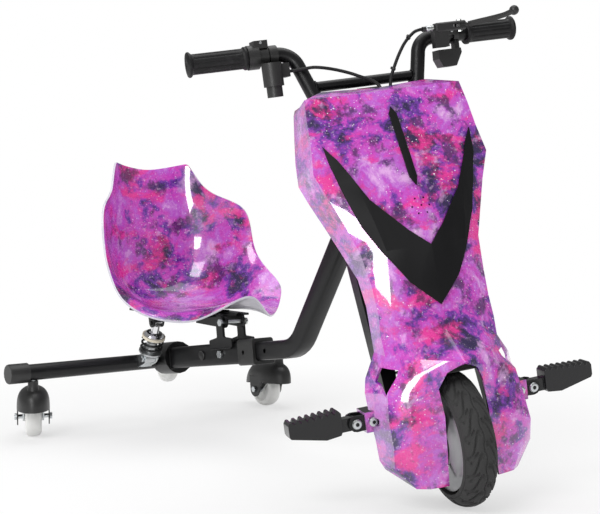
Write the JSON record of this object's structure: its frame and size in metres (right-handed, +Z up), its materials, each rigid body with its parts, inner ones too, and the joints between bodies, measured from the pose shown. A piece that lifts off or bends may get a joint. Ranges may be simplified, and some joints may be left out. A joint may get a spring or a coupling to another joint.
{
  "type": "electric drift kart",
  "caption": "Low electric kart with a hub-motor front wheel under a tall cowl, a handlebar, folding footrests and a sprung bucket seat on swivelling casters.",
  "frame": {"origin": "middle of the footprint on the ground, steering turned as in the picture", "axes": "+Z up, the kart's front faces -Y, +X is the driver's left"},
  "size_m": [0.6566, 1.002, 0.7452],
  "materials": {
    "black_paint": "satin",
    "printed_plastic": "gloss, printed",
    "black_plastic": "satin",
    "black_rubber": "matte",
    "tyre_rubber": "matte, treaded",
    "white_nylon": "satin",
    "zinc": "zinc plated",
    "chrome": "polished",
    "alloy": "as cast",
    "cream_plastic": "matte",
    "blue_wrap": "film",
    "red_plastic": "gloss"
  },
  "bodies": {
    "chassis": {"rear_tube": "black_paint", "sleeve_collar": "black_plastic", "crossbar": "black_paint", "crossbar_cap_left": "black_plastic", "crossbar_cap_right": "black_plastic", "seat_pivot_bracket": "black_paint", "pivot_bolt": "zinc", "lock_bolt": "zinc", "shock_clevis": "zinc", "shock_bolt": "zinc", "roller_bracket": "black_paint"},
    "roller": {"roller_wheel": "white_nylon"},
    "caster_left": {"caster_fork_left": "zinc", "caster_hood_left": "black_plastic", "caster_axle_left": "zinc"},
    "caster_roll_left": {"caster_wheel_left": "white_nylon"},
    "caster_right": {"caster_fork_right": "zinc", "caster_hood_right": "black_plastic", "caster_axle_right": "zinc"},
    "caster_roll_right": {"caster_wheel_right": "white_nylon"},
    "seat": {"seat_base": "black_paint", "seat_shell": "printed_plastic"},
    "shock_lower": {"shock_body": "alloy", "shock_spring": "black_paint"},
    "shock_upper": {"shock_shaft": "chrome", "spring_ring": "cream_plastic"},
    "front_frame": {"front_tube": "black_paint", "head_tube": "black_paint", "headset_cup_upper": "zinc", "headset_cup_lower": "zinc"},
    "steering": {"fork": "black_paint", "mount_plate": "zinc", "wheel_axle": "zinc", "mudguard": "black_plastic", "cowl": "printed_plastic", "v_inlay": "black_plastic", "centre_fin": "black_plastic", "battery": "blue_wrap", "controller": "alloy", "speaker": "black_plastic", "handlebar": "black_paint", "handlebar_brace": "black_paint", "handlebar_clamp": "black_paint", "left_grip": "black_rubber", "throttle_housing": "black_plastic", "brake_body": "black_plastic", "display_box": "black_plastic", "switch_unit": "black_plastic", "brake_cable": "black_rubber", "throttle_cable": "black_rubber", "lever_pivot": "zinc", "footrest_bracket_left": "black_paint", "footrest_bracket_right": "black_paint"},
    "front_wheel": {"tyre": "tyre_rubber", "hub_motor": "alloy"},
    "throttle_grip": {"throttle_grip": "black_rubber"},
    "brake_lever": {"brake_lever": "black_plastic"},
    "horn_button": {"horn_button": "red_plastic"},
    "footrest_left": {"footrest_left": "black_paint"},
    "footrest_right": {"footrest_right": "black_paint"}
  },
  "joints": [
    {"name": "frame_slide", "type": "slide", "parent": "chassis", "child": "front_frame", "axis": [0, 0.9898, -0.1426], "range_m": [-0.04, 0.055]},
    {"name": "steering_turn", "type": "hinge", "parent": "front_frame", "child": "steering", "pos_m": [0, -0.24733, 0.504], "axis": [0, 0.3762, 0.9265], "range_deg": [-22.22, 67.78]},
    {"name": "front_wheel_spin", "type": "hinge", "parent": "steering", "child": "front_wheel", "pos_m": [0.00208, -0.40635, 0.09921], "axis": [0.922, -0.3587, 0.1457], "continuous": true},
    {"name": "throttle_twist", "type": "hinge", "parent": "steering", "child": "throttle_grip", "pos_m": [-0.20951, -0.11529, 0.64495], "axis": [-0.922, 0.3587, -0.1457], "range_deg": [0, 70], "stiffness_Nm_per_rad": 0.25, "springref_deg": -17.19},
    {"name": "brake_lever_pull", "type": "hinge", "parent": "steering", "child": "brake_lever", "pos_m": [0.12505, -0.28707, 0.70957], "axis": [-0.1457, 0.0272, 0.989], "range_deg": [0, 20], "stiffness_Nm_per_rad": 0.8, "springref_deg": -17.19},
    {"name": "horn_press", "type": "slide", "parent": "steering", "child": "horn_button", "axis": [-0.3587, -0.933, -0.0272], "range_m": [0, 0.0025], "stiffness_N_per_m": 400, "springref_m": -0.002},
    {"name": "footrest_fold_left", "type": "hinge", "parent": "steering", "child": "footrest_left", "pos_m": [0.13503, -0.42611, 0.16327], "axis": [-0.3587, -0.933, -0.0272], "range_deg": [0, 60]},
    {"name": "footrest_fold_right", "type": "hinge", "parent": "steering", "child": "footrest_right", "pos_m": [-0.12129, -0.32638, 0.12277], "axis": [0.3587, 0.933, 0.0272], "range_deg": [0, 60]},
    {"name": "seat_tilt", "type": "hinge", "parent": "chassis", "child": "seat", "pos_m": [0, 0.15404, 0.22], "axis": [-1, 0, 0], "range_deg": [0, 3], "stiffness_Nm_per_rad": 500, "springref_deg": -1.72},
    {"name": "shock_swing", "type": "hinge", "parent": "chassis", "child": "shock_lower", "pos_m": [-0.055, 0.35954, 0.137], "axis": [1, 0, 0], "range_deg": [-0.5, 4]},
    {"name": "shock_slide", "type": "slide", "parent": "shock_lower", "child": "shock_upper", "axis": [0, -0.3947, 0.9188], "range_m": [-0.0085, 0.0003], "deforming": ["shock_spring"]},
    {"name": "roller_spin", "type": "hinge", "parent": "chassis", "child": "roller", "pos_m": [0.03, 0.43204, 0.104], "axis": [1, 0, 0], "continuous": true},
    {"name": "caster_swivel_left", "type": "hinge", "parent": "chassis", "child": "caster_left", "pos_m": [0.2795, 0.39104, 0.1], "axis": [0, 0, 1], "continuous": true},
    {"name": "caster_spin_left", "type": "hinge", "parent": "caster_left", "child": "caster_roll_left", "pos_m": [0.2795, 0.43704, 0.0375], "axis": [1, 0, 0], "continuous": true},
    {"name": "caster_swivel_right", "type": "hinge", "parent": "chassis", "child": "caster_right", "pos_m": [-0.2795, 0.39104, 0.1], "axis": [0, 0, 1], "continuous": true},
    {"name": "caster_spin_right", "type": "hinge", "parent": "caster_right", "child": "caster_roll_right", "pos_m": [-0.26028, 0.43283, 0.0375], "axis": [0.9085, -0.4179, 0], "continuous": true}
  ],
  "couplings": [
    {"joint": "shock_swing", "follows": "seat_tilt", "ratio": 1.2141},
    {"joint": "shock_slide", "follows": "seat_tilt", "m_per_rad": -0.15121}
  ]
}
